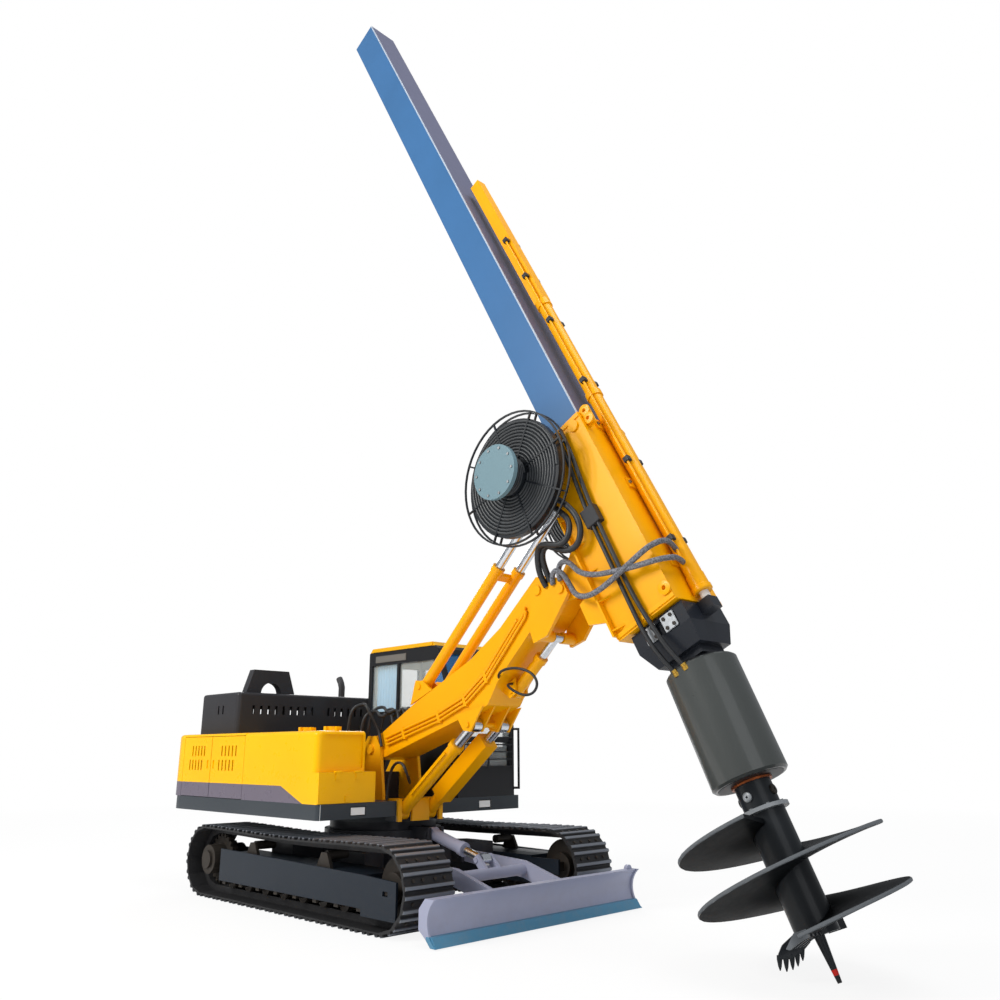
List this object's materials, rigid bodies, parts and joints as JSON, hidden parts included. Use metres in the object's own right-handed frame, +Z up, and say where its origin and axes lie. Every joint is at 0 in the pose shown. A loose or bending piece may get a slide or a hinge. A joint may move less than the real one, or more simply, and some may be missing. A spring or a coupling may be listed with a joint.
{
  "type": "rotary piling rig",
  "caption": "Tracked rotary piling rig with a blade, a cab, a bent boom, a leaning mast, a square drill bar and an auger under its power head.",
  "frame": {"origin": "on the ground under the slew axis", "axes": "+X ahead to the blade and the auger, +Y to the cab's side, +Z up"},
  "size_m": [9.0477, 3.04, 12.9014],
  "materials": {
    "yellow_paint": "gloss",
    "charcoal_paint": "satin",
    "slate_paint": "satin",
    "bar_paint": "satin",
    "black_paint": "satin",
    "track_steel": "matte",
    "chrome": "polished",
    "glass": "clear",
    "fabric": "matte",
    "rubber": "matte"
  },
  "bodies": {
    "undercarriage": {"car_body": "slate_paint", "track_frame_right": "black_paint", "track_frame_left": "black_paint", "track_right": "track_steel", "track_left": "track_steel", "running_gear_right": "black_paint", "running_gear_left": "black_paint"},
    "blade": {"blade": "slate_paint"},
    "blade_barrel": {"blade_barrel": "yellow_paint"},
    "blade_rod": {"blade_rod": "chrome"},
    "upper": {"deck": "slate_paint", "counterweight": "yellow_paint", "engine": "charcoal_paint", "hood": "charcoal_paint", "tank": "yellow_paint", "toolbox": "yellow_paint", "side_bay_right": "yellow_paint", "side_bay_left": "yellow_paint", "cab_shell": "yellow_paint", "cab_glass": "glass", "seat": "fabric"},
    "pump_door": {"pump_door": "yellow_paint"},
    "rear_door_right": {"rear_door_right": "yellow_paint"},
    "radiator_door": {"radiator_door": "yellow_paint"},
    "rear_door_left": {"rear_door_left": "yellow_paint"},
    "cab_door": {"cab_door": "yellow_paint", "door_glass": "glass"},
    "toolbox_lid": {"toolbox_lid": "yellow_paint"},
    "boom": {"boom": "yellow_paint"},
    "lift_barrels": {"lift_barrels": "yellow_paint"},
    "lift_rods": {"lift_rods": "chrome"},
    "carrier": {"carrier": "yellow_paint"},
    "under_barrel": {"under_barrel": "yellow_paint"},
    "under_rod": {"under_rod": "chrome"},
    "mast": {"mast": "yellow_paint", "crowd_barrel": "yellow_paint"},
    "tilt_barrels": {"tilt_barrels": "yellow_paint"},
    "tilt_rods": {"tilt_rods": "chrome"},
    "hose_reel_right": {"hose_reel_right": "rubber"},
    "hose_reel_left": {"hose_reel_left": "rubber"},
    "outer_bar": {"outer_bar": "bar_paint", "foot_block": "charcoal_paint"},
    "power_head": {"inner_bar": "bar_paint", "power_head": "charcoal_paint"},
    "auger": {"auger": "charcoal_paint"}
  },
  "joints": [
    {"name": "blade_lift", "type": "hinge", "parent": "undercarriage", "child": "blade", "pos_m": [0.88, 0, 0.5], "axis": [0, -1, 0], "range_deg": [-7, 14]},
    {"name": "blade_cylinder_swing", "type": "hinge", "parent": "undercarriage", "child": "blade_barrel", "pos_m": [0.93, 0, 0.76], "axis": [0, -1, 0], "range_deg": [-7.05, 14.05]},
    {"name": "blade_cylinder_stroke", "type": "slide", "parent": "blade_barrel", "child": "blade_rod", "axis": [0.9688, 0, -0.248], "range_m": [-0.0653, 0.0331]},
    {"name": "slew", "type": "hinge", "parent": "undercarriage", "child": "upper", "pos_m": [0, 0, 0.88], "axis": [0, 0, 1], "continuous": true},
    {"name": "pump_door_hinge", "type": "hinge", "parent": "upper", "child": "pump_door", "pos_m": [-0.748, -1.52, 1.49], "axis": [0, 0, 1], "range_deg": [0, 100]},
    {"name": "rear_door_right_hinge", "type": "hinge", "parent": "upper", "child": "rear_door_right", "pos_m": [-2.294, -1.52, 1.49], "axis": [0, 0, -1], "range_deg": [0, 100]},
    {"name": "radiator_door_hinge", "type": "hinge", "parent": "upper", "child": "radiator_door", "pos_m": [-1.041, 1.52, 1.49], "axis": [0, 0, -1], "range_deg": [0, 100]},
    {"name": "rear_door_left_hinge", "type": "hinge", "parent": "upper", "child": "rear_door_left", "pos_m": [-2.294, 1.52, 1.49], "axis": [0, 0, 1], "range_deg": [0, 100]},
    {"name": "cab_door_hinge", "type": "hinge", "parent": "upper", "child": "cab_door", "pos_m": [-0.04, 1.41, 1.9], "axis": [0, 0, 1], "range_deg": [0, 165]},
    {"name": "toolbox_lid_hinge", "type": "hinge", "parent": "upper", "child": "toolbox_lid", "pos_m": [0.849, -1.15, 1.45], "axis": [0, -1, 0], "range_deg": [0, 90]},
    {"name": "boom_lift", "type": "hinge", "parent": "upper", "child": "boom", "pos_m": [0.3, -0.15, 1.69], "axis": [0, -1, 0], "range_deg": [-8, 25]},
    {"name": "lift_swing", "type": "hinge", "parent": "upper", "child": "lift_barrels", "pos_m": [0.79, -0.15, 1], "axis": [0, -1, 0], "range_deg": [-7.32, 22.75]},
    {"name": "lift_stroke", "type": "slide", "parent": "lift_barrels", "child": "lift_rods", "axis": [0.7876, 0, 0.6162], "range_m": [-0.1159, 0.3602]},
    {"name": "carrier_trim", "type": "hinge", "parent": "boom", "child": "carrier", "pos_m": [3.03, -0.15, 3.24], "axis": [0, 1, 0], "range_deg": [-5, 6]},
    {"name": "under_swing", "type": "hinge", "parent": "boom", "child": "under_barrel", "pos_m": [2.436, -0.15, 2.27], "axis": [0, -1, 0], "range_deg": [-2.12, 2.53]},
    {"name": "under_stroke", "type": "slide", "parent": "under_barrel", "child": "under_rod", "axis": [0.7411, 0, 0.6714], "range_m": [-0.0339, 0.0285]},
    {"name": "mast_tilt", "type": "hinge", "parent": "carrier", "child": "mast", "pos_m": [3.33995, -0.15, 3.22003], "axis": [0, 1, 0], "range_deg": [-45, 32]},
    {"name": "tilt_swing", "type": "hinge", "parent": "boom", "child": "tilt_barrels", "pos_m": [1.108, -0.15, 2.38], "axis": [0, -1, 0], "range_deg": [-5.38, 7.55]},
    {"name": "tilt_stroke", "type": "slide", "parent": "tilt_barrels", "child": "tilt_rods", "axis": [0.7065, 0, 0.7077], "range_m": [-0.7908, 0.5626]},
    {"name": "reel_right_turn", "type": "hinge", "parent": "mast", "child": "hose_reel_right", "pos_m": [3.01439, -0.87, 4.38264], "axis": [0, 1, 0], "continuous": true},
    {"name": "reel_left_turn", "type": "hinge", "parent": "mast", "child": "hose_reel_left", "pos_m": [3.01439, 0.57, 4.38264], "axis": [0, 1, 0], "continuous": true},
    {"name": "head_lower", "type": "slide", "parent": "mast", "child": "power_head", "axis": [0.4602, 0, -0.8878], "range_m": [0, 8]},
    {"name": "outer_bar_lower", "type": "slide", "parent": "mast", "child": "outer_bar", "axis": [0.4602, 0, -0.8878], "range_m": [0, 3.6]},
    {"name": "auger_spin", "type": "hinge", "parent": "power_head", "child": "auger", "pos_m": [4.71204, -0.15, 2.36787], "axis": [0.3939, 0, -0.9191], "continuous": true}
  ],
  "couplings": [
    {"joint": "blade_cylinder_swing", "follows": "blade_lift", "ratio": 1},
    {"joint": "blade_cylinder_stroke", "follows": "blade_lift", "m_per_rad": -0.263},
    {"joint": "lift_swing", "follows": "boom_lift", "ratio": 0.9081},
    {"joint": "lift_stroke", "follows": "boom_lift", "m_per_rad": 0.8232},
    {"joint": "under_swing", "follows": "carrier_trim", "ratio": 0.4139},
    {"joint": "under_stroke", "follows": "carrier_trim", "m_per_rad": -0.3146},
    {"joint": "tilt_swing", "follows": "mast_tilt", "ratio": -0.1667},
    {"joint": "tilt_stroke", "follows": "mast_tilt", "m_per_rad": 1.0056},
    {"joint": "outer_bar_lower", "follows": "head_lower", "ratio": 0.45}
  ]
}
